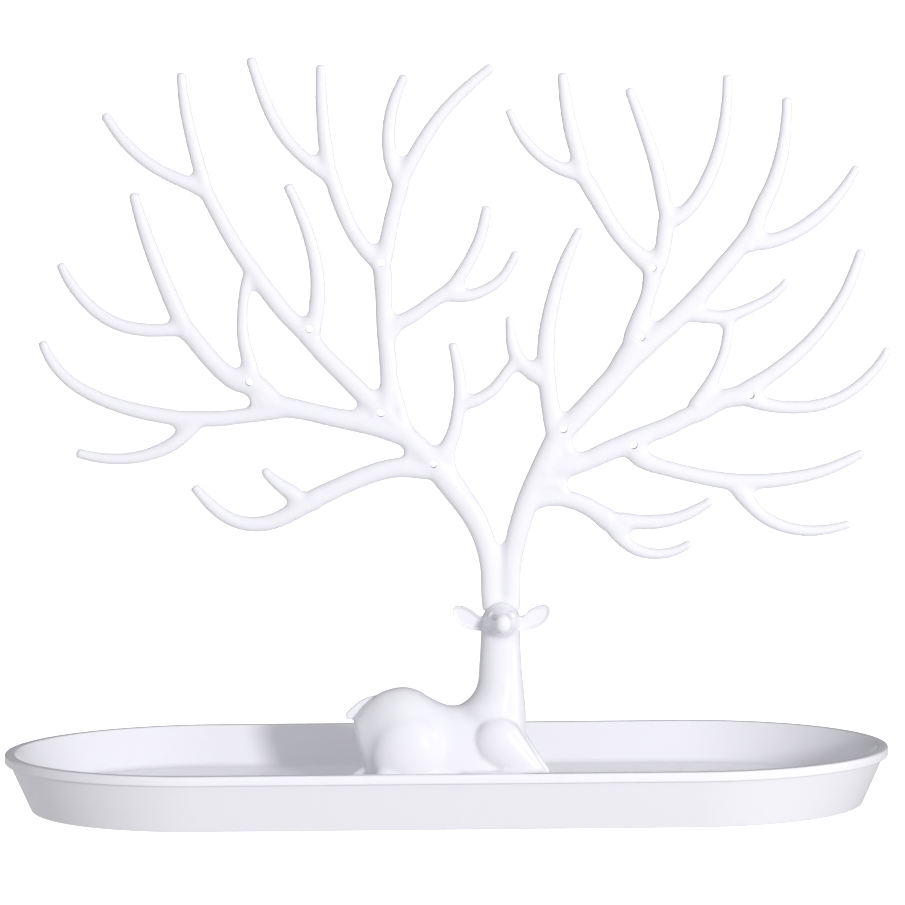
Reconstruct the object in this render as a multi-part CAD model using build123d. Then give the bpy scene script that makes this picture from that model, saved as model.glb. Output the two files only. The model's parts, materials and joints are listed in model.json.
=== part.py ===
from build123d import *
import os
from math import radians, tan

# Jewellery tree: a deer lies in a shallow tray and carries a flat antler crown.
# Millimetres. Origin: middle of the tray's foot on the table. +X runs along the
# tray, +Y away from the deer's face, +Z up.

# Tray
tray_length = 300.0
tray_width = 137.0
tray_height = 19.4
lip_height = 3.2
lip_width = 3.3
lip_overhang = 1.6
wall_flare = 24.0  # degrees from upright
floor_top = 5.6
floor_thickness = 2.2
foot_width = 3.2
floor_round = 3.0
edge_round = 0.6

# Screws that hold the deer from below
screw_radius = 1.45
screw_length = 9.5
screw_head_radius = 2.8
screw_head_height = 2.1
screw_head_round = 0.8
screw_tip_chamfer = 0.7
screw_slot_length = 3.4
screw_slot_width = 0.9
screw_slot_depth = 1.1
screw_clearance = 0.25
thread_clearance = 0.03
thread_end_gap = 1.0
boss_radius = 3.0
boss_height = 11.5
spigot_drop = 1.0
spigot_clearance = 0.12
screw_places = [(12.0, -5.6), (-14.0, 5.6)]  # in deer steps, one under each half

# Deer
deer_unit = 1.0  # size of one step in the deer's tables
head_at = 19.0  # middle of neck, head and crown along X, in deer steps
shell_wall = 1.9
pin_radius = 0.9
pin_reach = 2.4
pin_clearance = 0.08
pin_end_gap = 0.4
pin_boss_radius = 2.2
pin_places = [(-20.0, 22.0), (2.0, 18.0), (18.5, 35.0)]  # x and z in deer steps

# Antler crown
crown_unit = 1.0  # size of one step in the crown's tables
seat_below_head_top = 3.2  # in deer steps
tine_base_thickness = 1.4
tine_thickness_share = 0.5
tine_end_round = 0.55  # share of half the thickness of a tine at its tip
tip_width_limit = 3.41  # a run that ends narrower than this ends in a free, rounded tip
ovals_per_row = 3  # ovals from one row of a run to the next
earring_hole_radius = 1.2
knot_radius = 3.3
knot_round = 1.2
foot_length = 11.2
foot_depth = 5.0
foot_height = 3.0
foot_corner = 1.8
tenon_length = 7.6
tenon_depth = 4.2
tenon_drop = 13.0
tenon_corner = 1.6
tenon_chamfer = 0.6
socket_clearance = 0.1
socket_floor_gap = 0.6
socket_floor = 2.8

# Lengths and blocks that only need to reach past what they cut or meet
reach_past = 20.0
embed = 1.0
room = 400.0

# Deer body, sections along X: (x, lowest z, highest z, half depth), z above the floor
torso_sections = [
    (-31.5, 20.5, 24.5, 2.0),
    (-30.0, 13.0, 27.8, 5.2),
    (-27.0, 4.0, 30.6, 8.2),
    (-22.0, -6.0, 33.3, 11.6),
    (-15.5, -9.0, 34.6, 13.6),
    (-10.0, -9.0, 33.7, 13.4),
    (-5.0, -9.0, 30.7, 12.6),
    (0.5, -9.0, 28.3, 11.8),
    (7.0, -9.0, 28.0, 11.4),
    (14.0, -9.0, 28.0, 11.0),
    (21.0, -5.0, 27.6, 9.8),
    (25.2, 3.0, 26.6, 7.0),
    (27.0, 12.0, 23.0, 2.5),
]

# Neck, sections upwards: (z above the floor, reach left and right of head_at, half depth)
neck_sections = [
    (16.0, 12.0, 8.2, 9.8),
    (22.0, 13.8, 8.3, 9.6),
    (27.6, 14.2, 8.1, 9.2),
    (31.0, 10.6, 7.8, 8.2),
    (35.0, 8.4, 7.4, 7.2),
    (41.0, 7.8, 6.9, 6.5),
    (48.0, 7.3, 6.6, 6.2),
    (54.0, 7.0, 6.5, 6.1),
    (58.5, 6.6, 6.4, 6.0),
]

# Head and face: centre and half sizes of rounded forms, z above the floor
head_form = (head_at, -1.4, 56.6, 6.7, 6.6, 7.0)
muzzle_form = (head_at + 0.2, -14.2, 57.1, 2.5, 2.9, 3.0)
eye_forms = [(head_at + side * 3.5, -6.6, 59.0, 1.3, 1.3, 1.3) for side in (-1, 1)]
# Face between head and muzzle: (y, radius, z)
face_sections = [(-3.0, 6.2, 56.5), (-6.6, 5.0, 56.7), (-10.4, 3.5, 56.9), (-14.2, 2.6, 57.1)]

# Ear from its root round to its root: (distance from head_at, z), one ear mirrors the other
ear_outline = [
    (5.4, 57.2), (10.6, 60.2), (15.1, 61.9), (16.8, 60.2), (14.2, 55.8), (9.0, 53.6), (5.4, 53.4),
]
ear_hollow_outline = [(8.0, 57.2), (14.6, 60.8), (15.4, 59.8), (13.2, 56.4), (8.6, 54.8)]
ear_front = -2.9
ear_back = -0.5
ear_hollow_depth = 0.8

tail_outline = [
    (-22.0, 31.8), (-25.6, 31.6), (-28.6, 30.5), (-33.3, 26.9), (-34.2, 25.2), (-32.8, 23.8),
    (-29.0, 24.4), (-22.0, 25.0),
]
tail_front = 0.4
tail_back = 2.8

# Legs, each (x, y, z, radius) at its two ends, on the viewer's side; the far side mirrors
hind_thigh_form = (-12.3, -7.5, 12.5, 13.2, 7.2, 15.0)
hind_shin = [(-20.2, -10.6, 4.6, 4.7), (0.4, -12.0, 3.0, 2.8)]
hock = [(-31.0, 2.0, 3.8, 1.3), (-24.0, 4.0, 5.6, 3.4)]
fore_thigh = [(17.8, -8.6, 16.4, 8.4), (32.6, -11.4, 3.6, 2.7)]
fore_thigh_flat = 0.62
fore_shin = [(31.0, -12.0, 3.6, 3.4), (7.2, -13.2, 3.8, 3.2)]

# Crown runs: (x from the middle of the foot, z above the seat, width)
left_runs = [
    # trunk up to the knot where the long limb leaves
    [(-3.1, -1, 6.2), (-3.4, 8, 6.7), (-3.6, 14.4, 6.8), (-5.8, 24.9, 7.2), (-10.6, 34.6, 8),
     (-16.8, 42.7, 8.1), (-22.5, 50, 8.2), (-31.1, 58.9, 7.4), (-40, 68, 7)],
    # long limb and its top fork
    [(-38, 65.5, 6.4), (-46.7, 74.4, 6.5), (-53.1, 80.9, 6.1), (-59.8, 87.8, 5.9), (-65.4, 94.6, 6.2),
     (-71.8, 101.1, 5.8), (-77.5, 108.3, 5.8), (-80.9, 113, 5.7), (-84.7, 118.5, 5.4),
     (-88.1, 123.6, 5.2), (-93.3, 132.9, 5), (-99.6, 145.2, 5)],
    [(-97.5, 142, 5), (-104, 145.4, 4.6), (-113.2, 149.7, 4.1), (-124.2, 158.3, 4), (-132.2, 169.3, 3)],
    [(-98, 141.5, 5), (-100.8, 152.2, 4.6), (-102.9, 160.6, 4.3), (-105, 171, 4), (-106.2, 182.9, 3)],
    # tine beside the long limb's knot
    [(-63, 94, 5), (-61.4, 103.5, 5.4), (-61, 111, 5), (-63, 124.6, 4.4), (-66.2, 134.3, 4),
     (-71, 144.9, 3.2)],
    # upright limb to the upper knot
    [(-39.5, 66.5, 6.6), (-37.5, 75, 5.9), (-37.5, 84.5, 5.9), (-38.3, 94, 5.8), (-38.7, 104, 5.7),
     (-39, 114, 6.4), (-40, 120, 6)],
    # upper knot, left fork
    [(-38.5, 116.5, 5.6), (-42.6, 120.4, 5.6), (-46.7, 125.3, 5.2), (-50.8, 132.6, 5.1),
     (-54.4, 142.2, 5.2), (-56.8, 150, 5)],
    [(-56, 147, 4.6), (-61.9, 151.2, 4.4), (-68, 156.5, 4.2), (-74.1, 164.8, 4.4), (-78.3, 173.8, 4.1),
     (-82.9, 187.6, 3.3)],
    [(-56.3, 146, 5), (-57.6, 155.5, 5), (-58.6, 165, 4.4), (-59.1, 174.5, 4), (-59.2, 185.1, 3.2)],
    # upper knot, right fork
    [(-40, 115.5, 5.6), (-37.8, 123, 5.7), (-36.5, 129.5, 5.4), (-34.7, 136.9, 5.3), (-32.8, 144, 5.7),
     (-32, 148.5, 5)],
    [(-32.5, 144.5, 4.8), (-35.2, 150, 4.9), (-36.4, 156.4, 4.8), (-36.3, 165, 4.4), (-34.7, 172.2, 4.1),
     (-30.8, 181.2, 3)],
    [(-33, 144.5, 5), (-29.3, 151.7, 5), (-25.5, 158.3, 4.7), (-19.1, 167.5, 4.3), (-10.5, 176.5, 4),
     (-1.4, 183.9, 3.3)],
    # side limb to the right and its fork
    [(-40, 95, 5), (-35.5, 97.3, 5), (-31, 99.2, 5), (-26, 102.3, 4.6), (-22.5, 104.8, 4.7),
     (-19.3, 106.9, 5), (-15, 110.3, 4.6)],
    [(-17, 108, 4.6), (-13.9, 112, 4.5), (-9.8, 118.4, 4.3), (-6.3, 125.7, 4), (-4.4, 132.5, 3.8),
     (-3.7, 137, 3.3)],
    [(-20, 106.5, 4.4), (-14.5, 107, 4.6), (-11, 106.8, 4.2), (-5.4, 108.3, 3.9), (1, 112.5, 3.5),
     (4.8, 118.3, 3.2), (6.4, 121.7, 2.8)],
    # inner limb above the trunk's knot, with the twig that links to the right antler
    [(-24, 48, 6), (-19.5, 53, 5.8), (-17.2, 56.6, 5.3), (-15.4, 60.8, 4.9), (-14.4, 65, 4.6),
     (-13.6, 70.5, 4.5), (-13, 74.5, 4.2)],
    [(-13.8, 69, 4.4), (-13.3, 76, 4.4), (-13.9, 82.2, 4), (-15.8, 91, 3)],
    [(-15, 69.5, 4), (-9.5, 70.9, 4.4), (-5, 72.9, 4.1), (-1.8, 75.3, 4), (1.6, 79.4, 3.9), (6, 84.6, 4)],
    # low limb to the left and its fork
    [(-20, 47.5, 6), (-27, 48.2, 6.4), (-34, 48.8, 6.6), (-44, 46.7, 6.4), (-53.5, 42.9, 6.4),
     (-62.4, 38.8, 6.8), (-69, 36, 5.4)],
    [(-62, 38, 6), (-69.2, 34.7, 6), (-76.2, 31.3, 5.5), (-84.5, 30.1, 5), (-91.8, 32.1, 4.5),
     (-98.6, 37.3, 4.1), (-103.8, 43.1, 2.9)],
    [(-65.5, 35, 5.4), (-71.4, 41.1, 5.3), (-75.2, 43.8, 4.4), (-80, 48.8, 2.8)],
    # outer limb along the left side
    [(-27, 56, 5.6), (-36.5, 61.3, 7.3), (-46, 64.2, 7.3), (-56.1, 66.1, 6.5), (-65.5, 68.4, 6.4),
     (-73.5, 70, 7.2), (-80, 71.5, 7)],
    [(-72, 69.5, 6.5), (-78.7, 68.1, 5.8), (-85.6, 67, 5.1), (-90.2, 66.5, 5.2), (-95, 66, 5.3),
     (-104, 66.1, 5.3), (-109.5, 66, 5)],
    [(-102, 65.4, 5), (-110.5, 66.6, 5.3), (-120.6, 68.5, 5.1), (-130.3, 71.3, 4.7), (-138.2, 74.7, 4.4),
     (-145.4, 79.3, 3.9), (-151, 85.6, 3.7), (-154.4, 92.8, 3)],
    [(-100.5, 66.5, 5), (-105, 62.6, 5.4), (-108.6, 59.1, 5), (-116.7, 54.8, 4.5), (-123.4, 53.1, 4),
     (-130, 52.7, 3.8), (-136.5, 53.3, 3.6), (-143.3, 55, 3.2)],
    # outer limb, upper branch and its fork
    [(-75, 70.5, 7), (-80, 74.8, 7.8), (-84.5, 78, 8.4), (-88.5, 79, 7.6), (-92, 80.8, 6.5),
     (-96, 84.5, 6.1), (-101.7, 91.3, 6.1), (-107, 98, 6)],
    [(-104.8, 94.3, 6), (-109.5, 104.2, 5.8), (-113.2, 113.1, 5.4), (-116.8, 122.6, 5),
     (-120.1, 132.5, 4.4), (-122.9, 142.5, 3.3)],
    [(-104.5, 96, 4.6), (-111.5, 96.2, 4.4), (-118, 96.2, 4.5), (-125.1, 97.2, 4.5), (-132.8, 100.4, 4.3),
     (-140.2, 106.8, 4), (-145, 113.2, 3.6), (-148, 119, 2.8)],
    # link between the outer and the long limb
    [(-83.5, 76, 5.4), (-84.5, 85, 5.1), (-86.1, 91.6, 4.3), (-86.7, 98.5, 3.8), (-86.3, 105, 3.6),
     (-85.7, 109.3, 3.6), (-84.8, 112.5, 4), (-83.3, 116, 4.3)],
    # webs in the forks
    [(-12.2, 40, 5), (-14.6, 43.5, 4.8), (-16.2, 46.5, 4.6), (-17.3, 51, 4.5), (-16.9, 56, 4.6),
     (-15.4, 61, 4.6)],
    [(-37.2, 84, 4.6), (-36.7, 80, 4.6), (-35, 73, 4.6), (-33.6, 68, 4.6), (-32.2, 64, 4.4),
     (-29.8, 60, 3.9), (-28, 57, 3.6)],
    [(-39.8, 66.5, 7), (-40.7, 70.5, 5.4), (-41.1, 73.4, 3.5)],
    [(-22, 52.5, 6), (-28, 54, 6.5), (-31.8, 54.1, 4)],
    [(-76.5, 72, 7), (-80.5, 72.5, 8), (-84.2, 71.8, 5.5)],
    [(-37.6, 89, 4.4), (-36.9, 92.5, 4.4), (-35.4, 95.5, 4.4), (-32.8, 98, 4.4)],
]
right_runs = [
    # trunk
    [(3.1, -1, 6.2), (3.4, 8, 6.6), (3.5, 13.5, 6.6), (5.5, 25, 7.1), (9.2, 36.7, 7.5), (14.4, 48.2, 7.8),
     (18.3, 56, 8), (22, 62.5, 7.8)],
    # inner upright tine and the spur that meets the left antler's twig
    [(20, 57, 6.6), (18.3, 62.5, 6.4), (17.5, 67.5, 6.3), (16.6, 74.5, 6.3), (15.9, 82, 6.1),
     (16, 90.5, 6), (17.3, 100, 5.3), (19.8, 110, 4.8), (23.2, 119.4, 4.2), (28, 129.3, 3)],
    [(16.6, 77.3, 6), (11.8, 80.8, 6.6), (8.7, 82.8, 5.2), (5.3, 87.8, 4.8), (4, 94, 3.4), (3.5, 99.8, 2.4)],
    # heavy limb to the middle knot
    [(20, 59, 7.2), (28.2, 67.4, 7.3), (33.8, 73.3, 7.5), (39.1, 79, 7.6), (43.2, 84.6, 8.8), (47, 90.5, 9)],
    [(44.5, 87.5, 7), (46.2, 93, 7.6), (48.2, 99.6, 6.3), (49.6, 103.5, 5.4), (50.9, 107.5, 5.4),
     (51.8, 111.5, 6.2), (52.8, 117.5, 6)],
    # left top branch and its fork
    [(53, 113.5, 5.6), (48.4, 119, 6.2), (42.8, 124.5, 5.3), (36.5, 133.7, 5.2), (31.7, 142.3, 5.8),
     (27, 149.5, 5.4)],
    [(30, 147, 4.6), (22.9, 148.8, 4.6), (17.2, 151.7, 4.2), (10.8, 157.4, 3.8), (6.9, 163, 3.2),
     (3.9, 169.5, 2.6)],
    [(28.8, 145.5, 5.4), (27.5, 153.1, 5.3), (25.1, 162.1, 5.2), (23.3, 172, 4.5), (22.1, 181.6, 3.4)],
    # middle top branch and its fork
    [(51, 113, 6), (55.7, 122.4, 5.5), (56.6, 129.5, 5.6), (57.5, 135, 5.2)],
    [(57.5, 131.5, 5.2), (55.8, 139.5, 5), (53.9, 148.9, 4.8), (50.7, 159.2, 4.3), (47.8, 167.4, 3.9),
     (44.4, 176.2, 3.1)],
    [(56, 130.5, 5), (61, 132.7, 5), (65.9, 137.2, 4.8), (70.6, 144.7, 4.8), (74.6, 154.6, 4.6),
     (76.9, 165.5, 4.1), (77.8, 180.5, 3.1)],
    # right top branch and its fork
    [(43, 83, 7), (47.7, 87.9, 8), (52, 91.8, 7.6), (57.2, 95.8, 6.9), (62, 100.3, 6.8), (66, 104.4, 6.6),
     (70.3, 109.2, 6.2), (76.8, 116.7, 6.2), (82.2, 123, 6), (86, 128.5, 5.6)],
    [(83.5, 122, 6), (86.5, 128.5, 6.2), (88.3, 133.6, 5.9), (92.6, 142.8, 5.3), (95.7, 152.4, 4.8),
     (97.3, 162, 4), (97.8, 172.7, 3.3)],
    [(82.5, 124, 5), (90.5, 124, 5.2), (98.1, 126.3, 4.8), (106.6, 131.4, 4.8), (113.8, 138.2, 4),
     (118.4, 144.2, 3.4), (121.4, 149.4, 2.8)],
    # side twig and the link down to the long lower limb
    [(60, 100, 5), (66, 99.6, 5), (70, 99.2, 4.9), (76, 98.8, 4.5), (83.6, 101.2, 3.9), (90.4, 104.5, 3.4),
     (97.7, 111, 2.7)],
    [(78.3, 101, 3.5), (77.4, 93, 3.6), (76.3, 87.4, 3.6), (74.1, 81.5, 3.8), (70.7, 75, 4.8),
     (66.5, 68.5, 6)],
    # long lower limb with its two knots
    [(14, 46.5, 8), (22.6, 49, 8), (29.9, 50.8, 6.5), (36.5, 53.7, 6.8), (45.3, 57, 7.6), (51.3, 59.8, 6.3),
     (58.2, 62.5, 6.3), (62.4, 64.7, 6.2), (68.5, 66.8, 5.9), (74.3, 70.2, 6.2), (80.3, 71.9, 6.8),
     (86.5, 71.4, 7)],
    [(79.5, 71.3, 6.8), (86.3, 75.4, 6.2), (90.6, 78.3, 5.3), (98.1, 83.8, 5), (105.7, 90.8, 4.5),
     (112.3, 98.8, 4.2), (117.5, 107.2, 4), (120.8, 115.1, 3.8), (122.9, 121.2, 3.2)],
    [(84, 71.5, 6), (89, 69.5, 5), (94, 68.4, 4.4), (100.5, 68, 4.3), (108.5, 68.8, 4.2), (117, 72.1, 3.8),
     (125.1, 78.4, 3.5), (129.8, 84.2, 3.2), (131.7, 87.9, 2.6)],
    # lowest right limb and its fork
    [(43.5, 57.5, 6), (47.8, 51.3, 6.4), (55.3, 48.1, 5.3), (67.1, 45.1, 5.3), (77, 43.3, 5.6),
     (87, 43, 5.2), (100, 44.2, 4.6), (111.2, 47, 4), (118.6, 50.2, 3.5), (123.1, 52.5, 2.8)],
    [(75.5, 44, 4.4), (83, 37.6, 5.6), (87.8, 32.2, 4.5), (95.4, 27.9, 4.2), (103, 26.2, 3.8),
     (111, 26.5, 3.3), (118.5, 28.4, 2.7)],
    # short low limb and its fork
    [(8.5, 35.5, 6), (18, 38.1, 5.6), (25.4, 36.9, 5.9), (31, 34.2, 6.1), (36, 30.6, 7), (40, 27.5, 6)],
    [(35, 31, 6), (44, 29.8, 5.6), (47.5, 29.6, 4.9), (52.5, 29.6, 4.9), (60.5, 31, 4.2), (66.3, 33.5, 3.8),
     (71.6, 36.7, 2.9)],
    [(35, 31.5, 5), (40.2, 24.8, 4.6), (46.1, 20.2, 4.1), (52.5, 18.7, 3.7), (58.7, 19.5, 3.3),
     (64.7, 22.5, 2.7)],
    # webs in the forks
    [(23.6, 62, 4.6), (22.6, 59, 4.6), (22.4, 56.3, 4.7), (23.4, 53.5, 4.7), (26, 51.4, 4.6)],
    [(22.5, 47.5, 4.7), (20.7, 44.4, 4.7), (20.5, 42, 4.7), (21.4, 39.5, 4.7), (23.8, 37.6, 4.7)],
    [(12, 43, 8), (16.5, 43.3, 7), (20, 43.2, 6)],
    [(35, 31, 6.5), (39, 28.2, 6.5), (42.6, 25.9, 5)],
]
earring_holes = [
    (-84.5, 78.3), (-64, 96.1), (-39.4, 118.2), (-40.2, 67.4), (-22.5, 50),
    (52.1, 115.6), (48.2, 92.3), (21.6, 61.4), (45.3, 55.7), (85, 72.4),
]

# Places worked out from the sizes above
screws_at = [(x * deer_unit, y * deer_unit) for x, y in screw_places]
crown_at = head_at * deer_unit
crown_seat = floor_top + (head_form[2] + head_form[5] - seat_below_head_top) * deer_unit

os.makedirs("parts", exist_ok=True)


def joined(forms):
    """One solid from forms that overlap, added one after another."""
    whole = forms[0]
    for form in forms[1:]:
        whole = whole.fuse(form)
    return whole


def keep_largest(shape):
    return max(shape.solids(), key=lambda one: one.volume)


def upright_cylinder(radius, x, y, low, high):
    return Pos(x, y, low) * extrude(Circle(radius), high - low)


def tray_profile():
    """Half of the tray's section, from its middle line out to the lip."""
    flare = tan(radians(wall_flare))
    lip_low = tray_height - lip_height
    lip_out = tray_width / 2
    wall_out = lip_out - lip_overhang
    foot_out = wall_out - lip_low * flare
    foot_in = foot_out - foot_width
    under_high = floor_top - floor_thickness
    inside_top = lip_out - lip_width
    inside_low = inside_top - (tray_height - floor_top) * flare
    corners = [
        (foot_in, 0),
        (foot_out, 0),
        (wall_out, lip_low),
        (lip_out, lip_low),
        (lip_out, tray_height),
        (inside_top, tray_height),
        (inside_low, floor_top),
        (0, floor_top),
        (0, under_high),
        (foot_in - under_high / 4, under_high),
    ]
    rounds = {0: edge_round / 2, 1: edge_round, 2: edge_round / 2, 3: edge_round, 4: edge_round,
              5: edge_round, 6: floor_round, 9: edge_round}
    section = make_face(Polyline(*corners, close=True))
    for number, radius in rounds.items():
        x, z = corners[number]
        corner = min(section.vertices(), key=lambda v: (Vector(v.X, v.Y, 0) - Vector(x, z, 0)).length)
        section = fillet(corner, radius)
    return section


def make_tray():
    """Straight middle with a half turn of the same section at each end."""
    section = tray_profile()
    straight = tray_length - tray_width
    side = Plane(origin=(-straight / 2, 0, 0), x_dir=(0, 1, 0), z_dir=(1, 0, 0)) * section
    middle = extrude(side, straight)
    body = middle + mirror(middle, about=Plane.XZ)
    for end in (-1, 1):
        upright = Plane(origin=(end * straight / 2, 0, 0), x_dir=(0, end, 0), z_dir=(end, 0, 0))
        axis = Axis((end * straight / 2, 0, 0), (0, 0, -1))
        body = body + revolve(upright * section, axis, 180)
    for x, y in screws_at:
        body = body - upright_cylinder(
            boss_radius + spigot_clearance, x, y, floor_top - spigot_drop - spigot_clearance, tray_height
        )
        body = body - upright_cylinder(screw_radius + screw_clearance, x, y, 0, tray_height)
    return keep_largest(body)


def make_screws():
    """Two pan-head screws, heads up against the underside of the floor."""
    seat = floor_top - floor_thickness
    screws = []
    for x, y in screws_at:
        head = upright_cylinder(screw_head_radius, x, y, seat - screw_head_height, seat)
        rim = head.edges().sort_by(Axis.Z)[0]
        head = fillet(rim, screw_head_round)
        shank = upright_cylinder(screw_radius, x, y, seat, seat + screw_length)
        tip = shank.edges().sort_by(Axis.Z)[-1]
        shank = chamfer(tip, screw_tip_chamfer)
        screw = head + shank
        slot_low = Pos(x, y, seat - screw_head_height + screw_slot_depth / 2)
        slot = Box(screw_slot_length, screw_slot_width, screw_slot_depth)
        screw = screw - slot_low * slot - slot_low * Rot(0, 0, 90) * slot
        screws.append(keep_largest(screw))
    return screws


def deer_point(x, y, z):
    return Vector(x * deer_unit, y * deer_unit, floor_top + z * deer_unit)


def rounded_form(x, y, z, rx, ry, rz):
    ball = Sphere(deer_unit)
    return Pos(*deer_point(x, y, z)) * scale(ball, by=(rx, ry, rz))


def leg(ends, flat=1.0):
    """Tapered limb with round ends between two points of the deer."""
    (x0, y0, z0, r0), (x1, y1, z1, r1) = ends
    start = deer_point(x0, y0, z0)
    end = deer_point(x1, y1, z1)
    reach = (end - start).length
    lean = (r0 - r1) * deer_unit / reach
    side = (1 - lean * lean) ** 0.5
    big = r0 * deer_unit
    small = r1 * deer_unit
    outline = [
        ThreePointArc((0, -big), (big * ((1 - lean) / 2) ** 0.5, -big * ((1 + lean) / 2) ** 0.5),
                      (big * side, big * lean)),
        Line((big * side, big * lean), (small * side, reach + small * lean)),
        ThreePointArc((small * side, reach + small * lean),
                      (small * ((1 - lean) / 2) ** 0.5, reach + small * ((1 + lean) / 2) ** 0.5),
                      (0, reach + small)),
        Line((0, reach + small), (0, -big)),
    ]
    profile = make_face(Curve() + outline)
    turned = revolve(Plane.XZ * profile, Axis.Z)
    if flat != 1.0:
        aim = Plane(origin=(0, 0, 0), z_dir=(end - start).normalized(), x_dir=(0, 1, 0))
        laid = aim * turned
        return Pos(start.X, start.Y, start.Z) * scale(laid, by=(1, flat, 1))
    aim = Plane(origin=start, z_dir=(end - start).normalized(), x_dir=(0, 1, 0))
    return aim * turned


def far_side(form):
    return mirror(form, about=Plane.XZ)


def torso(inset):
    """Body as ovals across X; inset shrinks every oval for the hollow."""
    rows = torso_sections if inset == 0 else torso_sections[2:-2]
    ovals = []
    for x, low, high, depth in rows:
        across = Plane(origin=deer_point(x, 0, (low + high) / 2), x_dir=(0, 1, 0), z_dir=(1, 0, 0))
        height = (high - low) / 2 * deer_unit
        ovals.append(across * Ellipse(depth * deer_unit - inset, height - inset))
    return loft(ovals).solids()[0]


def neck(inset, top):
    """Neck as level ovals up to the height top; inset shrinks every oval for the hollow."""
    ovals = []
    for z, left, right, depth in neck_sections:
        middle = deer_point(head_at + (right - left) / 2, 0, z)
        if middle.Z <= top:
            half = (left + right) / 2 * deer_unit
            ovals.append(Plane(origin=middle) * Ellipse(half - inset, depth * deer_unit - inset))
    return loft(ovals).solids()[0]


def face():
    rings = []
    for y, radius, z in face_sections:
        ring = Plane(origin=deer_point(head_form[0], y, z), x_dir=(1, 0, 0), z_dir=(0, -1, 0))
        rings.append(ring * Circle(radius * deer_unit))
    return loft(rings).solids()[0]


def plate(outline, low_y, high_y):
    """Closed smooth outline in the XZ plane, from low_y back to high_y."""
    points = [(x * deer_unit, floor_top + z * deer_unit) for x, z in outline]
    wire = Spline(*points) + Line(points[-1], points[0])
    blank = Plane.XZ * make_face(wire)
    return Pos(0, high_y * deer_unit, 0) * extrude(blank, (high_y - low_y) * deer_unit)


def ear():
    outer = [(head_at - across, z) for across, z in ear_outline]
    inner = [(head_at - across, z) for across, z in ear_hollow_outline]
    form = plate(outer, ear_front, ear_back)
    hollow = plate(inner, ear_front - embed, ear_front + ear_hollow_depth)
    return (form - hollow).solids()[0]


def deer_outside():
    forms = [torso(0), neck(0, room), rounded_form(*head_form), face(), rounded_form(*muzzle_form)]
    forms += [rounded_form(*eye) for eye in eye_forms]
    for side in (lambda form: form, far_side):
        forms.append(side(rounded_form(*hind_thigh_form)))
        forms.append(side(leg(hind_shin)))
        forms.append(side(leg(fore_thigh, fore_thigh_flat)))
        forms.append(side(leg(fore_shin)))
    forms.append(leg(hock))
    left_ear = ear()
    middle = Plane.YZ.offset(head_at * deer_unit)
    forms += [left_ear, mirror(left_ear, about=middle)]
    forms.append(plate(tail_outline, tail_front, tail_back))
    body = joined([form.solids()[0] for form in forms])
    above_floor = Pos(0, 0, floor_top + room / 2) * Box(room, room, room)
    return keep_largest(body & above_floor)


def make_deer():
    outside = deer_outside()
    hollow_top = crown_seat - tenon_drop - socket_floor_gap - socket_floor
    hollow = torso(shell_wall).fuse(neck(shell_wall, hollow_top))
    above_sole = Pos(0, 0, floor_top + shell_wall + room / 2) * Box(room, room, room)
    hollow = hollow & above_sole
    shell = outside - hollow

    # bosses for the screws, each inside its own half
    for x, y in screws_at:
        post = upright_cylinder(boss_radius, x, y, floor_top, floor_top + boss_height)
        spigot = upright_cylinder(boss_radius, x, y, floor_top - spigot_drop, floor_top + shell_wall)
        screw_end = floor_top - floor_thickness + screw_length
        thread = upright_cylinder(
            screw_radius + thread_clearance, x, y, floor_top - spigot_drop, screw_end + thread_end_gap
        )
        shell = shell + (post & outside) + spigot - thread

    # socket for the crown's foot and tenon
    gap = socket_clearance
    mouth = Pos(crown_at, 0, crown_seat) * extrude(
        RectangleRounded(foot_length + 2 * gap, foot_depth + 2 * gap, foot_corner), reach_past
    )
    socket_depth = tenon_drop + socket_floor_gap
    socket = Pos(crown_at, 0, crown_seat - socket_depth) * extrude(
        RectangleRounded(tenon_length + 2 * gap, tenon_depth + 2 * gap, tenon_corner),
        socket_depth + embed,
    )
    shell = shell - mouth - socket

    # halves meet on the plane through the ears; pins of the front enter bosses of the rear
    front_block = Pos(0, -room / 2, 0) * Box(room, room, room)
    rear_block = Pos(0, room / 2, 0) * Box(room, room, room)
    front = shell & front_block
    rear = shell & rear_block
    for x, z in pin_places:
        place = Plane(origin=deer_point(x, 0, z), z_dir=(0, -1, 0), x_dir=(1, 0, 0))
        front_boss = place * extrude(Circle(pin_boss_radius), reach_past)
        rear_boss = place * extrude(Circle(pin_boss_radius), -reach_past)
        pin = place * extrude(Circle(pin_radius), -pin_reach)
        bore = place * extrude(Circle(pin_radius + pin_clearance), -pin_reach - pin_end_gap)
        front = front + (front_boss & outside & front_block)
        front = front + pin
        rear = rear + (rear_boss & outside & rear_block)
        rear = rear - bore
    return keep_largest(front), keep_largest(rear)


def tine_thickness(width):
    return min(width, tine_base_thickness + tine_thickness_share * width)


def oval_across(line, place, width):
    """Oval square to a limb's middle line, thinner than it is wide."""
    across = Plane(origin=line.position_at(place), x_dir=(0, 1, 0), z_dir=line.tangent_at(place))
    return across * Ellipse(tine_thickness(width) / 2, width / 2)


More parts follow.
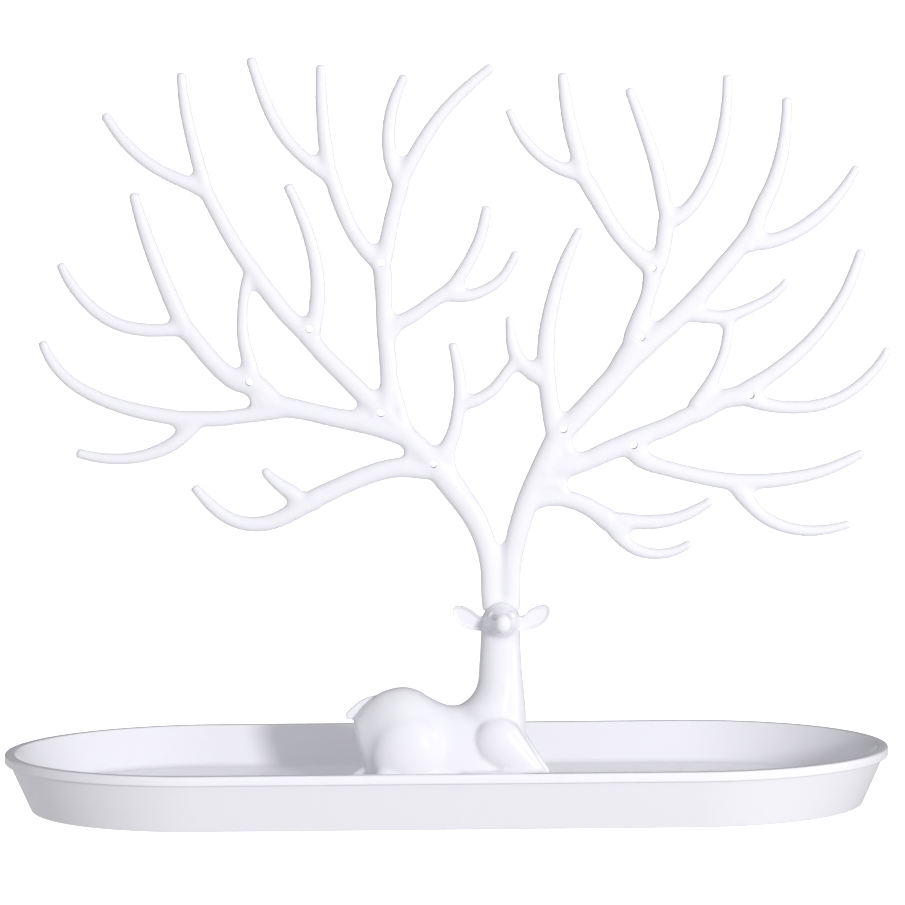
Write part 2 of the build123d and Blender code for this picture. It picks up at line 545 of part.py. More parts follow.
def crown_run(points):
    """Limb of the crown: ovals across a smooth line, the last end rounded if it is a tip."""
    places = [
        (crown_at + x * crown_unit, crown_seat + z * crown_unit, w * crown_unit)
        for x, z, w in points
    ]
    line = Spline(*[(x, 0, z) for x, z, w in places])
    rows = [(line.param_at_point(Vector(x, 0, z)), w) for x, z, w in places]
    ovals = []
    for (start, first_width), (end, next_width) in zip(rows, rows[1:]):
        for step in range(ovals_per_row):
            share = step / ovals_per_row
            width = first_width + share * (next_width - first_width)
            ovals.append(oval_across(line, start + share * (end - start), width))
    ovals.append(oval_across(line, 1, places[-1][2]))
    limb = loft(ovals).solids()[0]
    if points[-1][2] <= tip_width_limit:
        tip = line.position_at(1)
        cap = min(limb.faces(), key=lambda f: (f.center() - tip).length)
        limb = fillet(cap.edges(), tine_end_round * tine_thickness(places[-1][2]) / 2)
        limb = limb.solids()[0]
    return limb


def across_crown(x, z, y):
    """Plane square to the crown's depth at a crown point, facing the viewer."""
    origin = (crown_at + x * crown_unit, y, crown_seat + z * crown_unit)
    return Plane(origin=origin, z_dir=(0, -1, 0), x_dir=(1, 0, 0))


def make_crown():
    left = joined([crown_run(run) for run in left_runs])
    right = joined([crown_run(run) for run in right_runs])
    crown = left.fuse(right)
    thickness = tine_thickness(2 * knot_radius)
    for x, z in earring_holes:
        knot = extrude(Circle(knot_radius), thickness)
        knot = fillet(knot.edges().filter_by(GeomType.CIRCLE), knot_round)
        crown = crown.fuse((across_crown(x, z, thickness / 2) * knot).solids()[0])
    foot = Pos(crown_at, 0, crown_seat) * extrude(
        RectangleRounded(foot_length, foot_depth, foot_corner), foot_height
    )
    tenon = Pos(crown_at, 0, crown_seat - tenon_drop) * extrude(
        RectangleRounded(tenon_length, tenon_depth, tenon_corner), tenon_drop + embed
    )
    tenon = chamfer(tenon.edges().group_by(Axis.Z)[0], tenon_chamfer)
    below_seat = Pos(crown_at, 0, crown_seat - room / 2) * Box(room, room, room)
    crown = crown.cut(below_seat)
    crown = crown.fuse(foot.solids()[0]).fuse(tenon.solids()[0])
    for x, z in earring_holes:
        drill = extrude(Circle(earring_hole_radius), reach_past)
        crown = crown.cut((across_crown(x, z, reach_past / 2) * drill).solids()[0])
    return keep_largest(crown)


front_shell, rear_shell = make_deer()
pieces = {
    "tray": make_tray(),
    "deer_front_shell": front_shell,
    "deer_rear_shell": rear_shell,
    "deer_screws": Compound(make_screws()),
    "antler_crown": make_crown(),
}
for name, piece in pieces.items():
    export_step(piece, f"parts/{name}.step")
    print(name, round(piece.volume, 1), "mm3", len(piece.solids()), "solids")
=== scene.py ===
import json
import math

import bpy
from mathutils import Matrix, Vector

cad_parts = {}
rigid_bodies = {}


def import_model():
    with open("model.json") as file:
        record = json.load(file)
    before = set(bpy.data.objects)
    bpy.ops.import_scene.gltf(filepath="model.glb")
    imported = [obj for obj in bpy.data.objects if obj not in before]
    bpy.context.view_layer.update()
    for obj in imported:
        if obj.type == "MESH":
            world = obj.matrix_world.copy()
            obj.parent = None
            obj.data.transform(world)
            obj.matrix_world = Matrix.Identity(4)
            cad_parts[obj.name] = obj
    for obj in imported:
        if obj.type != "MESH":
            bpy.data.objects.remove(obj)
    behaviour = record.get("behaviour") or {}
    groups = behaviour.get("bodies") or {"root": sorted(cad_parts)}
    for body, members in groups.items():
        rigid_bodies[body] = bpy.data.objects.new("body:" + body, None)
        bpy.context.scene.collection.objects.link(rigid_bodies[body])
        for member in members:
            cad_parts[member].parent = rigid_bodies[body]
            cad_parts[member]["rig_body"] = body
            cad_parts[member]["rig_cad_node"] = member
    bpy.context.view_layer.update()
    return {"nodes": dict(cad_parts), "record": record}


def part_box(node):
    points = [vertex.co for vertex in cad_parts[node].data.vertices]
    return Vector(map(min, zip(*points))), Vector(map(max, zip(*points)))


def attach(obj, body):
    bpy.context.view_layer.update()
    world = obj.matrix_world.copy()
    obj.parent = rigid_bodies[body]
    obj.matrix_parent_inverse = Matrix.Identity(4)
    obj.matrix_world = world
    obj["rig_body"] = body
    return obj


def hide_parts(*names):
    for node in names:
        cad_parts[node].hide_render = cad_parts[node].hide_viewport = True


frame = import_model()
mm = 0.001
print("frame loaded:", ", ".join(sorted(frame["nodes"])))


# Handling

def deselectAll():
    if bpy.context.mode != "OBJECT":
        bpy.ops.object.mode_set(mode="OBJECT")
    bpy.ops.object.select_all(action="DESELECT")


def pick(*pieces):
    deselectAll()
    for piece in pieces:
        piece.select_set(True)
    bpy.context.view_layer.objects.active = pieces[-1]


def named(name):
    piece = bpy.context.object
    piece.name = name
    piece.data.name = name
    return piece


def useModifier(piece, kind, **settings):
    pick(piece)
    modifier = piece.modifiers.new(kind.lower(), kind)
    for key, value in settings.items():
        setattr(modifier, key, value)
    bpy.ops.object.modifier_apply(modifier=modifier.name)


def editAll(piece):
    pick(piece)
    bpy.ops.object.mode_set(mode="EDIT")
    bpy.ops.mesh.select_all(action="SELECT")


def tidyMesh(piece, gap=0.00001):
    editAll(piece)
    bpy.ops.mesh.remove_doubles(threshold=gap)
    bpy.ops.mesh.normals_make_consistent(inside=False)
    bpy.ops.object.mode_set(mode="OBJECT")


def joinUp(pieces, name):
    pick(*pieces)
    bpy.ops.object.join()
    return named(name)


def applyPlace(piece):
    pick(piece)
    bpy.ops.object.transform_apply(location=True, rotation=True, scale=True)


def shadeSmooth(piece, degrees):
    pick(piece)
    bpy.ops.object.shade_smooth_by_angle(angle=math.radians(degrees))


def webCorners(piece, reach, voxel, relax):
    # grown, remeshed as one skin and shrunk again: every inner corner keeps a web of that reach
    useModifier(piece, "DISPLACE", strength=reach, mid_level=0)
    useModifier(piece, "REMESH", mode="VOXEL", voxel_size=voxel)
    useModifier(piece, "SMOOTH", factor=0.5, iterations=relax)
    useModifier(piece, "DISPLACE", strength=-reach, mid_level=0)


def cutAway(piece, cutter):
    useModifier(piece, "BOOLEAN", object=cutter, operation="DIFFERENCE", solver="EXACT")
    bpy.data.objects.remove(cutter)


# Finishes

def linear(hexColour):
    parts = [int(hexColour[i:i + 2], 16) / 255 for i in (0, 2, 4)]
    return [p / 12.92 if p <= 0.04045 else ((p + 0.055) / 1.055) ** 2.4 for p in parts] + [1]


def addNode(material, kind, settings=(), links=()):
    # settings go to the node or its inputs by name, links are (own input, other node's output)
    node = material.node_tree.nodes.new(kind)
    for key, value in dict(settings).items():
        if key in node.inputs:
            node.inputs[key].default_value = value
        else:
            setattr(node, key, value)
    for own, socket in dict(links).items():
        material.node_tree.links.new(node.inputs[own], socket)
    return node


def newMaterial(name):
    material = bpy.data.materials.new(name)
    material.use_nodes = True
    material.node_tree.nodes.clear()
    return material


def injectionMouldedAbs():
    # moulded in a polished steel tool: gloss, a soft glow inside the white, traces of sink and orange peel
    material = newMaterial("injectionMouldedAbs")
    place = addNode(material, "ShaderNodeTexCoord")
    sink = addNode(material, "ShaderNodeTexNoise", {"Scale": 1 / (14 * mm), "Detail": 1.0},
                   {"Vector": place.outputs["Object"]})
    peel = addNode(material, "ShaderNodeTexNoise", {"Scale": 1 / (1.6 * mm), "Detail": 2.0},
                   {"Vector": place.outputs["Object"]})
    gloss = addNode(material, "ShaderNodeMapRange", {"To Min": 0.2, "To Max": 0.27},
                    {"Value": sink.outputs["Fac"]})
    waves = addNode(material, "ShaderNodeBump", {"Strength": 0.25, "Distance": 0.12 * mm},
                    {"Height": sink.outputs["Fac"]})
    skin = addNode(material, "ShaderNodeBump", {"Strength": 0.12, "Distance": 0.01 * mm},
                   {"Height": peel.outputs["Fac"], "Normal": waves.outputs["Normal"]})
    shader = addNode(material, "ShaderNodeBsdfPrincipled",
                     {"Base Color": linear("F1F0F5"), "IOR": 1.53, "Specular IOR Level": 0.35,
                      "Subsurface Weight": 0.12,
                      "Subsurface Radius": (1.2, 1.1, 1.2), "Subsurface Scale": 1.4 * mm},
                     {"Roughness": gloss.outputs["Result"], "Normal": skin.outputs["Normal"]})
    addNode(material, "ShaderNodeOutputMaterial", {}, {"Surface": shader.outputs["BSDF"]})
    return material


def zincPlatedSteel():
    # barrel plated: bright grey with a fine turned grain and duller patches
    material = newMaterial("zincPlatedSteel")
    place = addNode(material, "ShaderNodeTexCoord")
    patches = addNode(material, "ShaderNodeTexNoise", {"Scale": 1 / (0.8 * mm), "Detail": 3.0},
                      {"Vector": place.outputs["Object"]})
    dull = addNode(material, "ShaderNodeMapRange", {"To Min": 0.28, "To Max": 0.46},
                   {"Value": patches.outputs["Fac"]})
    grain = addNode(material, "ShaderNodeBump", {"Strength": 0.3, "Distance": 0.02 * mm},
                    {"Height": patches.outputs["Fac"]})
    shader = addNode(material, "ShaderNodeBsdfPrincipled",
                     {"Base Color": linear("C4C6C8"), "Metallic": 1.0},
                     {"Roughness": dull.outputs["Result"], "Normal": grain.outputs["Normal"]})
    addNode(material, "ShaderNodeOutputMaterial", {}, {"Surface": shader.outputs["BSDF"]})
    return material


whiteAbs = injectionMouldedAbs()
screwSteel = zincPlatedSteel()


def finishPiece(piece, material, body, slotName, *nodes):
    piece.data.materials.clear()
    piece.data.materials.append(material)
    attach(piece, body)
    if nodes:
        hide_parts(*nodes)


# Tray: half its section is drawn out once round the oval

trayShape = {
    "lipHeight": 3.2, "lipWidth": 3.3, "lipOverhang": 1.6, "wallFlare": 24,
    "floorTop": 5.6, "floorThickness": 2.2, "footWidth": 3.2, "footSlope": 0.85,
    "edge": 0.6, "fineEdge": 0.3, "floorRound": 3.0, "roundSteps": 5, "turnSteps": 72,
    "smoothAngle": 40,
}


def roundCorners(corners, steps):
    # corners are (across, up, radius); each round one becomes an arc of that radius
    outline = []
    for i, (across, up, radius) in enumerate(corners):
        here = Vector((across, up))
        if radius == 0:
            outline.append(here)
            continue
        before = Vector(corners[i - 1][:2])
        after = Vector(corners[i + 1][:2])
        inward = (before - here).normalized()
        outward = (after - here).normalized()
        half = inward.angle(outward) / 2
        reach = radius / math.tan(half)
        middle = here + (inward + outward).normalized() * (radius / math.sin(half))
        start = here + inward * reach - middle
        end = here + outward * reach - middle
        sweep = start.angle_signed(end)
        for k in range(steps + 1):
            turned = start.copy()
            turned.rotate(Matrix.Rotation(-sweep * k / steps, 2))
            outline.append(middle + turned)
    return outline


def makeTray():
    t = trayShape
    low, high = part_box("tray")
    length, width, height = [value / mm for value in high - low]
    flare = math.tan(math.radians(t["wallFlare"]))
    lipLow = height - t["lipHeight"]
    lipOut = width / 2
    wallOut = lipOut - t["lipOverhang"]
    footOut = wallOut - lipLow * flare
    footIn = footOut - t["footWidth"]
    under = t["floorTop"] - t["floorThickness"]
    insideTop = lipOut - t["lipWidth"]
    insideLow = insideTop - (height - t["floorTop"]) * flare
    edge = t["edge"]
    fine = t["fineEdge"]
    outline = roundCorners([
        (0, under, 0), (footIn - t["footSlope"], under, edge), (footIn, 0, fine), (footOut, 0, edge),
        (wallOut, lipLow, fine), (lipOut, lipLow, edge), (lipOut, height, edge),
        (insideTop, height, edge), (insideLow, t["floorTop"], t["floorRound"]), (0, t["floorTop"], 0),
    ], t["roundSteps"])
    straight = (length - width) * mm

    bpy.ops.mesh.primitive_plane_add(size=mm, location=(straight / 2, outline[0].x * mm, outline[0].y * mm))
    tray = named("trayMoulding")
    applyPlace(tray)
    editAll(tray)
    bpy.ops.mesh.merge(type="CENTER")
    for here, there in zip(outline, outline[1:]):
        step = (there - here) * mm
        bpy.ops.mesh.extrude_region_move(TRANSFORM_OT_translate={"value": (0, step.x, step.y)})
    bpy.ops.mesh.select_all(action="SELECT")
    for end in (1, -1):
        bpy.ops.mesh.spin(steps=t["turnSteps"], angle=math.pi, center=(end * straight / 2, 0, 0),
                          axis=(0, 0, 1))
        bpy.ops.mesh.extrude_region_move(TRANSFORM_OT_translate={"value": (-end * straight, 0, 0)})
    tidyMesh(tray)
    shadeSmooth(tray, t["smoothAngle"])
    return tray


tray = makeTray()
finishPiece(tray, whiteAbs, "base", "white_plastic", "tray")
print("tray:", len(tray.data.polygons), "faces")


# Antler crown: the moulded crown with webs in its forks and its holes drilled again

crownShape = {
    "web": 1.2, "webVoxel": 0.7, "skinVoxel": 0.69, "relax": 5, "finish": 3, "regain": 0.12,
    "holeSides": 32, "holeReach": 8, "smoothAngle": 50,
}


def makeCrown():
    c = crownShape
    pick(frame["nodes"]["antler_crown"])
    bpy.ops.object.duplicate()
    crown = named("antlerCrown")
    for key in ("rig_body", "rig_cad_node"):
        del crown[key]
    crown.parent = None
    tidyMesh(crown)
    bpy.ops.object.duplicate()
    webs = bpy.context.object
    webCorners(webs, c["web"] * mm, c["webVoxel"] * mm, c["relax"])
    crown = joinUp([webs, crown], "antlerCrown")
    useModifier(crown, "REMESH", mode="VOXEL", voxel_size=c["skinVoxel"] * mm)
    useModifier(crown, "SMOOTH", factor=0.5, iterations=c["finish"])
    useModifier(crown, "DISPLACE", strength=c["regain"] * mm, mid_level=0)

    drills = []
    for mount in frame["record"]["mounts"]:
        if mount["name"].startswith("earring_hole"):
            bpy.ops.mesh.primitive_cylinder_add(
                vertices=c["holeSides"], radius=mount["dims"]["r_mm"] * mm, depth=c["holeReach"] * mm,
                location=mount["pos_m"], rotation=(math.pi / 2, 0, 0))
            drills.append(bpy.context.object)
    cutAway(crown, joinUp(drills, "drills"))
    shadeSmooth(crown, c["smoothAngle"])
    return crown


crown = makeCrown()
finishPiece(crown, whiteAbs, "antlers", "white_plastic", "antler_crown")
print("crown:", len(crown.data.polygons), "faces")


# Deer: rings are drawn out along body, neck and face, then skinned as one and cut into its two shells

deerShape = {
    "floor": 5.6, "headAt": 19.0, "seat": 66.0,
    "bodyWeb": 2.4, "bodyVoxel": 0.7, "bodyRelax": 14,
    "skinWeb": 0.5, "skinVoxel": 0.42, "skinRelax": 4, "fineVoxel": 0.3, "finish": 2,
    "sides": 48, "ballSides": 48, "ballRings": 32,
    # x, lowest z, highest z, half depth, z above the tray's floor
    "torso": [
        (-31.5, 20.5, 24.5, 2.0), (-30.0, 13.0, 25.6, 4.8), (-27.0, 4.0, 29.2, 7.4),
        (-22.0, -6.0, 32.9, 11.2), (-15.5, -9.0, 34.6, 13.6), (-10.0, -9.0, 33.7, 13.4),
        (-5.0, -9.0, 30.7, 12.6), (0.5, -9.0, 28.3, 11.8), (7.0, -9.0, 28.0, 11.4),
        (14.0, -9.0, 28.0, 11.0), (21.0, -5.0, 27.6, 9.8), (25.2, 3.0, 26.6, 7.0),
        (27.0, 12.0, 23.0, 2.5),
    ],
    # z above the floor, reach left and right of headAt, half depth
    "neck": [
        (16.0, 12.0, 8.2, 9.8), (22.0, 13.8, 8.3, 9.6), (27.6, 14.2, 8.1, 9.2), (31.0, 10.6, 7.8, 8.2),
        (35.0, 8.4, 7.4, 7.2), (41.0, 7.8, 6.9, 6.5), (48.0, 7.3, 6.6, 6.2), (54.0, 7.0, 6.5, 6.1),
        (58.5, 6.6, 6.4, 6.0),
    ],
    "head": (19.0, -1.4, 56.6, 6.7, 6.6, 7.0),
    # y, radius, z
    "face": [(-3.0, 6.2, 56.5), (-6.6, 5.0, 56.7), (-10.4, 3.5, 56.9), (-14.2, 2.6, 57.1)],
    "muzzle": (19.5, -14.0, 57.1, 2.9, 2.9, 3.4),
    "eyes": [(15.7, -6.8, 59.2, 1.4, 1.4, 1.4), (22.5, -6.8, 59.2, 1.4, 1.4, 1.4)],
    "hindThigh": (-12.6, -8.0, 12.2, 12.8, 7.4, 14.6),
    "hindShin": [(-20.2, -10.6, 4.6, 4.7), (0.4, -12.0, 3.0, 2.8)],
    "hock": [(-31.2, -1.0, 4.5, 1.1), (-25.5, -1.0, 6.4, 3.2)],
    "foreThigh": [(17.8, -8.6, 16.4, 8.4), (32.6, -11.4, 3.6, 2.7)],
    "foreThighFlat": 0.62,
    "foreShin": [(31.0, -12.0, 3.6, 3.4), (7.2, -13.2, 3.8, 3.2)],
    # across from headAt, z above the floor
    "ear": [(5.0, 57.6), (7.9, 59.0), (9.8, 60.6), (12.1, 61.8), (14.2, 62.2), (15.7, 62.0), (16.5, 60.9),
            (16.4, 59.0), (15.3, 57.0), (13.6, 55.4), (11.5, 54.3), (9.3, 53.8), (5.0, 53.4)],
    "earFront": -2.9, "earThick": 2.2, "earRim": 1.0, "earHollow": 0.9,
    "tail": [(-22.0, 31.8), (-25.7, 31.2), (-29.1, 29.8), (-31.8, 27.7), (-33.9, 25.7), (-34.1, 24.2),
             (-32.8, 23.5), (-30.0, 23.4), (-22.0, 24.6)],
    "tailFront": 0.4, "tailThick": 2.4,
    "mouth": (11.4, 5.2, 1.8), "socket": (7.8, 4.4, 1.6), "socketDrop": 13.6,
    "limbSteps": 10, "blockSteps": 6, "cutter": 0.4, "cutterMiddle": 0.15, "smoothAngle": 50,
}


def at(x, y, z):
    return Vector((x, y, z + deerShape["floor"])) * mm


def smoothRows(rows, between=5):
    # more rows between the given ones, on a smooth line through them
    found = []
    for i in range(len(rows) - 1):
        before = rows[max(i - 1, 0)]
        after = rows[min(i + 2, len(rows) - 1)]
        for k in range(between):
            t = k / between
            found.append(tuple(
                0.5 * (2 * b + (c - a) * t + (2 * a - 5 * b + 4 * c - d) * t ** 2
                       + (3 * b - a - 3 * c + d) * t ** 3)
                for a, b, c, d in zip(before, rows[i], rows[i + 1], after)))
    return found + [tuple(rows[-1])]


def drawRings(name, rings, turn):
    # rings are (middle, half size across X, across Y, across Z); turn lays the first ring square to its run
    middle, *sizes = rings[0]
    bpy.ops.mesh.primitive_circle_add(vertices=deerShape["sides"], radius=1, fill_type="NGON",
                                      location=middle, rotation=turn)
    form = named(name)
    bpy.ops.object.transform_apply(location=False, rotation=True, scale=False)
    form.scale = sizes
    applyPlace(form)
    editAll(form)
    for (here, *old), (there, *new) in zip(rings, rings[1:]):
        bpy.ops.mesh.extrude_region_move(TRANSFORM_OT_translate={"value": there - here})
        ratio = [n / o if o else 1 for n, o in zip(new, old)]
        bpy.ops.transform.resize(value=ratio, center_override=there)
    tidyMesh(form)
    return form


def ball(name, x, y, z, rx, ry, rz):
    d = deerShape
    bpy.ops.mesh.primitive_uv_sphere_add(segments=d["ballSides"], ring_count=d["ballRings"], radius=mm,
                                         location=at(x, y, z), scale=(rx, ry, rz))
    form = named(name)
    applyPlace(form)
    return form


def limb(name, ends, flat=1.0):
    # tapered limb with round ends, drawn along +Z from rings and then laid between its two ends
    (x0, y0, z0, r0), (x1, y1, z1, r1) = ends
    start = at(x0, y0, z0)
    run = at(x1, y1, z1) - start
    lean = (r0 - r1) * mm / run.length
    first = math.asin(lean)
    rings = []
    steps = deerShape["limbSteps"]
    for k in range(1, steps + 1):
        angle = -math.pi / 2 + (math.pi / 2 + first) * k / steps
        rings.append((r0 * math.sin(angle), r0 * math.cos(angle)))
    for k in range(steps):
        angle = first + (math.pi / 2 - first) * k / steps
        rings.append((run.length / mm + r1 * math.sin(angle), r1 * math.cos(angle)))
    form = drawRings(name, [(Vector((0, 0, h * mm)), r * mm, r * mm, 1) for h, r in rings], (0, 0, 0))
    form.rotation_euler = run.to_track_quat("Z", "Y").to_euler()
    applyPlace(form)
    form.scale = (1, flat, 1)
    form.location = start
    applyPlace(form)
    return form


def leaf(name, outline, front, thick, rim=0, hollow=0):
    # flat leaf in the XZ plane: its outline is filled, drawn to its thickness and its front pressed in
    points = [at(x, front + thick, z) for x, z in smoothRows(outline)]
    bpy.ops.mesh.primitive_plane_add(size=mm, location=points[0])
    form = named(name)
    applyPlace(form)
    editAll(form)
    bpy.ops.mesh.merge(type="CENTER")
    for here, there in zip(points, points[1:]):
        bpy.ops.mesh.extrude_region_move(TRANSFORM_OT_translate={"value": there - here})
    bpy.ops.mesh.select_all(action="SELECT")
    bpy.ops.mesh.edge_face_add()
    bpy.ops.mesh.extrude_region_move(TRANSFORM_OT_translate={"value": (0, -thick * mm, 0)})
    if rim:
        bpy.ops.mesh.inset(thickness=rim * mm)
        bpy.ops.transform.translate(value=(0, hollow * mm, 0))
    tidyMesh(form)
    useModifier(form, "BEVEL", width=0.25 * thick * mm, segments=3, limit_method="ANGLE")
    return form


def farSide(form):
    pick(form)
    bpy.ops.object.duplicate()
    other = bpy.context.object
    other.scale = (1, -1, 1)
    applyPlace(other)
    tidyMesh(other)
    return other


def roundedBlock(length, depth, corner, low, high):
    # upright block with round corners, for the crown's seat and socket
    bpy.ops.mesh.primitive_cube_add(size=1, location=(deerShape["headAt"] * mm, 0, (low + high) / 2 * mm),
                                    scale=(length * mm, depth * mm, (high - low) * mm))
    block = bpy.context.object
    applyPlace(block)
    pick(block)
    bpy.ops.object.mode_set(mode="EDIT")
    bpy.ops.mesh.select_all(action="DESELECT")
    bpy.ops.object.mode_set(mode="OBJECT")
    for line in block.data.edges:
        a, b = (block.data.vertices[i].co for i in line.vertices)
        line.select = abs(a.z - b.z) > mm
    bpy.ops.object.mode_set(mode="EDIT")
    bpy.ops.mesh.select_mode(type="EDGE")
    bpy.ops.mesh.bevel(offset=corner * mm, segments=deerShape["blockSteps"])
    bpy.ops.mesh.select_mode(type="VERT")
    bpy.ops.object.mode_set(mode="OBJECT")
    return block


def half(piece, name, side):
    # keeps the part in front of (side -1) or behind (side 1) the seam and closes it there
    pick(piece)
    bpy.ops.object.duplicate()
    shell = named(name)
    size = deerShape["cutter"]
    bpy.ops.mesh.primitive_cube_add(size=size, location=(0, -side * size / 2, deerShape["cutterMiddle"]))
    cutAway(shell, bpy.context.object)
    return shell


def makeDeer():
    d = deerShape
    torso = drawRings("torso", [
        (at(x, 0, (low + high) / 2), 1, depth * mm, (high - low) / 2 * mm)
        for x, low, high, depth in smoothRows(d["torso"])], (0, math.pi / 2, 0))
    neck = drawRings("neck", [
        (at(d["headAt"] + (right - left) / 2, 0, z), (left + right) / 2 * mm, depth * mm, 1)
        for z, left, right, depth in smoothRows(d["neck"])], (0, 0, 0))
    parts = [torso, neck, ball("head", *d["head"])]
    thigh = ball("hindThigh", *d["hindThigh"])
    parts += [thigh, farSide(thigh)]
    body = joinUp(parts, "deerBody")
    useModifier(body, "REMESH", mode="VOXEL", voxel_size=d["bodyVoxel"] * mm)
    webCorners(body, d["bodyWeb"] * mm, d["bodyVoxel"] * mm, d["bodyRelax"])

    face = drawRings("face", [
        (at(d["headAt"], y, z), radius * mm, 1, radius * mm)
        for y, radius, z in smoothRows(d["face"])], (math.pi / 2, 0, 0))
    foreThigh = limb("foreThigh", d["foreThigh"], d["foreThighFlat"])
    foreShin = limb("foreShin", d["foreShin"])
    hindShin = limb("hindShin", d["hindShin"])
    leftEar = leaf("leftEar", [(d["headAt"] - across, z) for across, z in d["ear"]],
                   d["earFront"], d["earThick"], d["earRim"], d["earHollow"])
    rightEar = leaf("rightEar", [(d["headAt"] + across, z) for across, z in d["ear"]],
                    d["earFront"], d["earThick"], d["earRim"], d["earHollow"])
    tail = leaf("tail", d["tail"], d["tailFront"], d["tailThick"])
    parts = [body, face, limb("hock", d["hock"])]
    for form in (foreThigh, foreShin, hindShin):
        parts += [form, farSide(form)]
    deer = joinUp(parts, "deer")
    useModifier(deer, "REMESH", mode="VOXEL", voxel_size=d["skinVoxel"] * mm)
    webCorners(deer, d["skinWeb"] * mm, d["skinVoxel"] * mm, d["skinRelax"])

    # small crisp forms come last, in a finer skin
    parts = [deer, ball("muzzle", *d["muzzle"]), leftEar, rightEar, tail]
    deer = joinUp(parts + [ball("eye", *eye) for eye in d["eyes"]], "deer")
    useModifier(deer, "REMESH", mode="VOXEL", voxel_size=d["fineVoxel"] * mm)
    useModifier(deer, "SMOOTH", factor=0.5, iterations=d["finish"])

    # sole cut level with the tray's floor, seat and socket for the crown
    editAll(deer)
    bpy.ops.mesh.bisect(plane_co=at(0, 0, 0), plane_no=(0, 0, 1), clear_inner=True)
    bpy.ops.mesh.fill()
    bpy.ops.object.mode_set(mode="OBJECT")
    cutAway(deer, roundedBlock(*d["mouth"], d["seat"], d["seat"] + 20))
    cutAway(deer, roundedBlock(*d["socket"], d["seat"] - d["socketDrop"], d["seat"] + 1))
    front = half(deer, "deerFrontShell", -1)
    rear = half(deer, "deerRearShell", 1)
    bpy.data.objects.remove(deer)
    for shell in (front, rear):
        tidyMesh(shell)
        shadeSmooth(shell, d["smoothAngle"])
    return front, rear


deerFront, deerRear = makeDeer()
finishPiece(deerFront, whiteAbs, "base", "white_plastic", "deer_front_shell")
finishPiece(deerRear, whiteAbs, "base", "white_plastic", "deer_rear_shell")
print("deer:", len(deerFront.data.polygons), "and", len(deerRear.data.polygons), "faces")

screws = frame["nodes"]["deer_screws"]
screws.data.materials.clear()
screws.data.materials.append(screwSteel)


# Studio: white sweep, key from the right front, black cards at the left and behind for the edges

studio = {
    "sweepWidth": 14.0, "sweepFront": -3.0, "sweepBack": 2.2, "sweepHeight": 3.0,
    "sweepRound": 0.8, "sweepSteps": 16, "sweepSmooth": 60,
    "camera": (0, -1.4954, 0.2176), "downwards": 3.742, "rightwards": 0.114, "roll": -0.528,
    "lens": 176.03,
    "airStrength": 0.6, "sweepGlow": 0.95,
    # name, place, turn in degrees, width and height
    "flags": [
        ("flagLeft", (-0.62, 0.0, 0.45), (0, 90, 0), (0.9, 1.4)),
        ("flagBehind", (0.05, 0.5, 0.42), (90, 0, 0), (2.2, 0.8)),
    ],
    # name, place, target, width and height, watts
    "lamps": [
        ("key", (0.93, -1.83, 0.4), (0, 0, 0.08), (0.26, 0.26), 25),
    ],
    # name, place, target, width and height, watts: seen only as highlights
    "shines": [
        ("keyShine", (1.0, -1.5, 0.5), (0, 0, 0.08), (0.1, 0.5), 2.5),
        ("sideShine", (1.6, -0.3, 0.3), (0, 0, 0.1), (0.2, 1.0), 9),
    ],
}


def studioWhite():
    # matt painted sweep, lit so evenly that it glows
    material = newMaterial("studioWhite")
    shader = addNode(material, "ShaderNodeBsdfPrincipled",
                     {"Base Color": linear("F6F6F8"), "Roughness": 0.7,
                      "Emission Color": linear("FFFFFF"), "Emission Strength": studio["sweepGlow"]})
    addNode(material, "ShaderNodeOutputMaterial", {}, {"Surface": shader.outputs["BSDF"]})
    return material


def flagBlack():
    # black card beside the set
    material = newMaterial("flagBlack")
    shader = addNode(material, "ShaderNodeBsdfPrincipled", {"Base Color": linear("1C1C1E"), "Roughness": 0.9})
    addNode(material, "ShaderNodeOutputMaterial", {}, {"Surface": shader.outputs["BSDF"]})
    return material


def areaLight(name, place, target, width, height, power):
    bpy.ops.object.light_add(type="AREA", location=place)
    lamp = bpy.context.object
    lamp.name = name
    lamp.data.shape = "RECTANGLE"
    lamp.data.size = width
    lamp.data.size_y = height
    lamp.data.energy = power
    lamp.rotation_euler = (Vector(target) - Vector(place)).to_track_quat("-Z", "Y").to_euler()
    return lamp


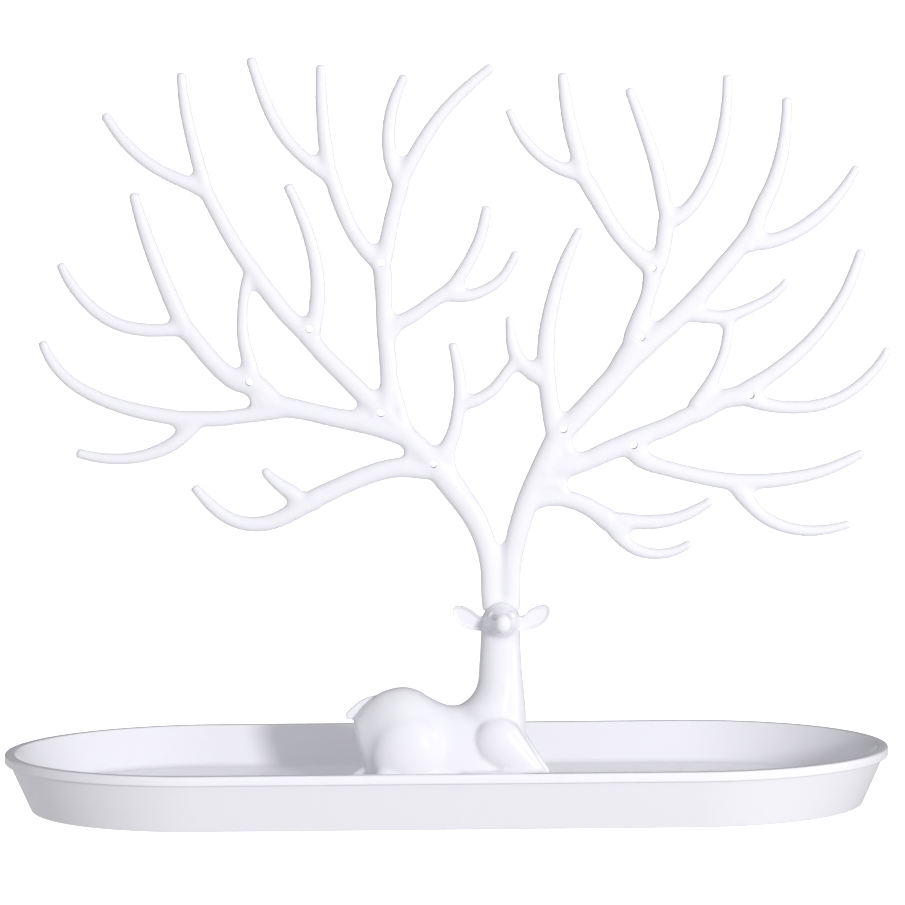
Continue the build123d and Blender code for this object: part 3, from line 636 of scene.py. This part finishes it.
def makeStudio():
    s = studio
    depth = s["sweepBack"] - s["sweepFront"]
    bpy.ops.mesh.primitive_plane_add(size=1, location=(0, (s["sweepBack"] + s["sweepFront"]) / 2, 0))
    sweep = named("sweep")
    sweep.scale = (s["sweepWidth"], depth, 1)
    applyPlace(sweep)
    pick(sweep)
    bpy.ops.object.mode_set(mode="EDIT")
    bpy.ops.mesh.select_all(action="DESELECT")
    bpy.ops.object.mode_set(mode="OBJECT")
    for line in sweep.data.edges:
        a, b = (sweep.data.vertices[i].co for i in line.vertices)
        line.select = a.y > 0 and b.y > 0
    bpy.ops.object.mode_set(mode="EDIT")
    bpy.ops.mesh.select_mode(type="EDGE")
    bpy.ops.mesh.extrude_region_move(TRANSFORM_OT_translate={"value": (0, 0, s["sweepHeight"])})
    bpy.ops.object.mode_set(mode="OBJECT")
    useModifier(sweep, "BEVEL", width=s["sweepRound"], segments=s["sweepSteps"], limit_method="ANGLE")
    shadeSmooth(sweep, s["sweepSmooth"])
    sweep.data.materials.append(studioWhite())
    sweep.visible_diffuse = False  # the air lights the piece, the sweep only shows behind it
    sweep.visible_glossy = False

    for name, place, turn, size in s["flags"]:
        bpy.ops.mesh.primitive_plane_add(size=1, location=place, rotation=[math.radians(a) for a in turn])
        flag = named(name)
        flag.scale = (*size, 1)
        flag.data.materials.append(flagBlack())
        flag.visible_camera = False
        flag.visible_diffuse = False
    for name, place, target, size, power in s["lamps"]:
        areaLight(name, place, target, *size, power).visible_glossy = False
    for name, place, target, size, power in s["shines"]:
        areaLight(name, place, target, *size, power).visible_diffuse = False

    world = bpy.data.worlds.new("studioAir")
    world.use_nodes = True
    world.node_tree.nodes["Background"].inputs["Color"].default_value = linear("F4F5F8")
    world.node_tree.nodes["Background"].inputs["Strength"].default_value = s["airStrength"]
    bpy.context.scene.world = world

    bpy.ops.object.camera_add(location=s["camera"])
    camera = bpy.context.object
    camera.name = "camera"
    camera.data.lens = s["lens"]
    camera.data.sensor_width = 36
    camera.rotation_euler = (
        Matrix.Rotation(math.radians(-s["rightwards"]), 3, "Z")
        @ Matrix.Rotation(math.radians(90 - s["downwards"]), 3, "X")
        @ Matrix.Rotation(math.radians(s["roll"]), 3, "Z")
    ).to_euler()
    bpy.context.scene.camera = camera
    bpy.context.scene.view_settings.view_transform = "Standard"


makeStudio()
print("studio set")
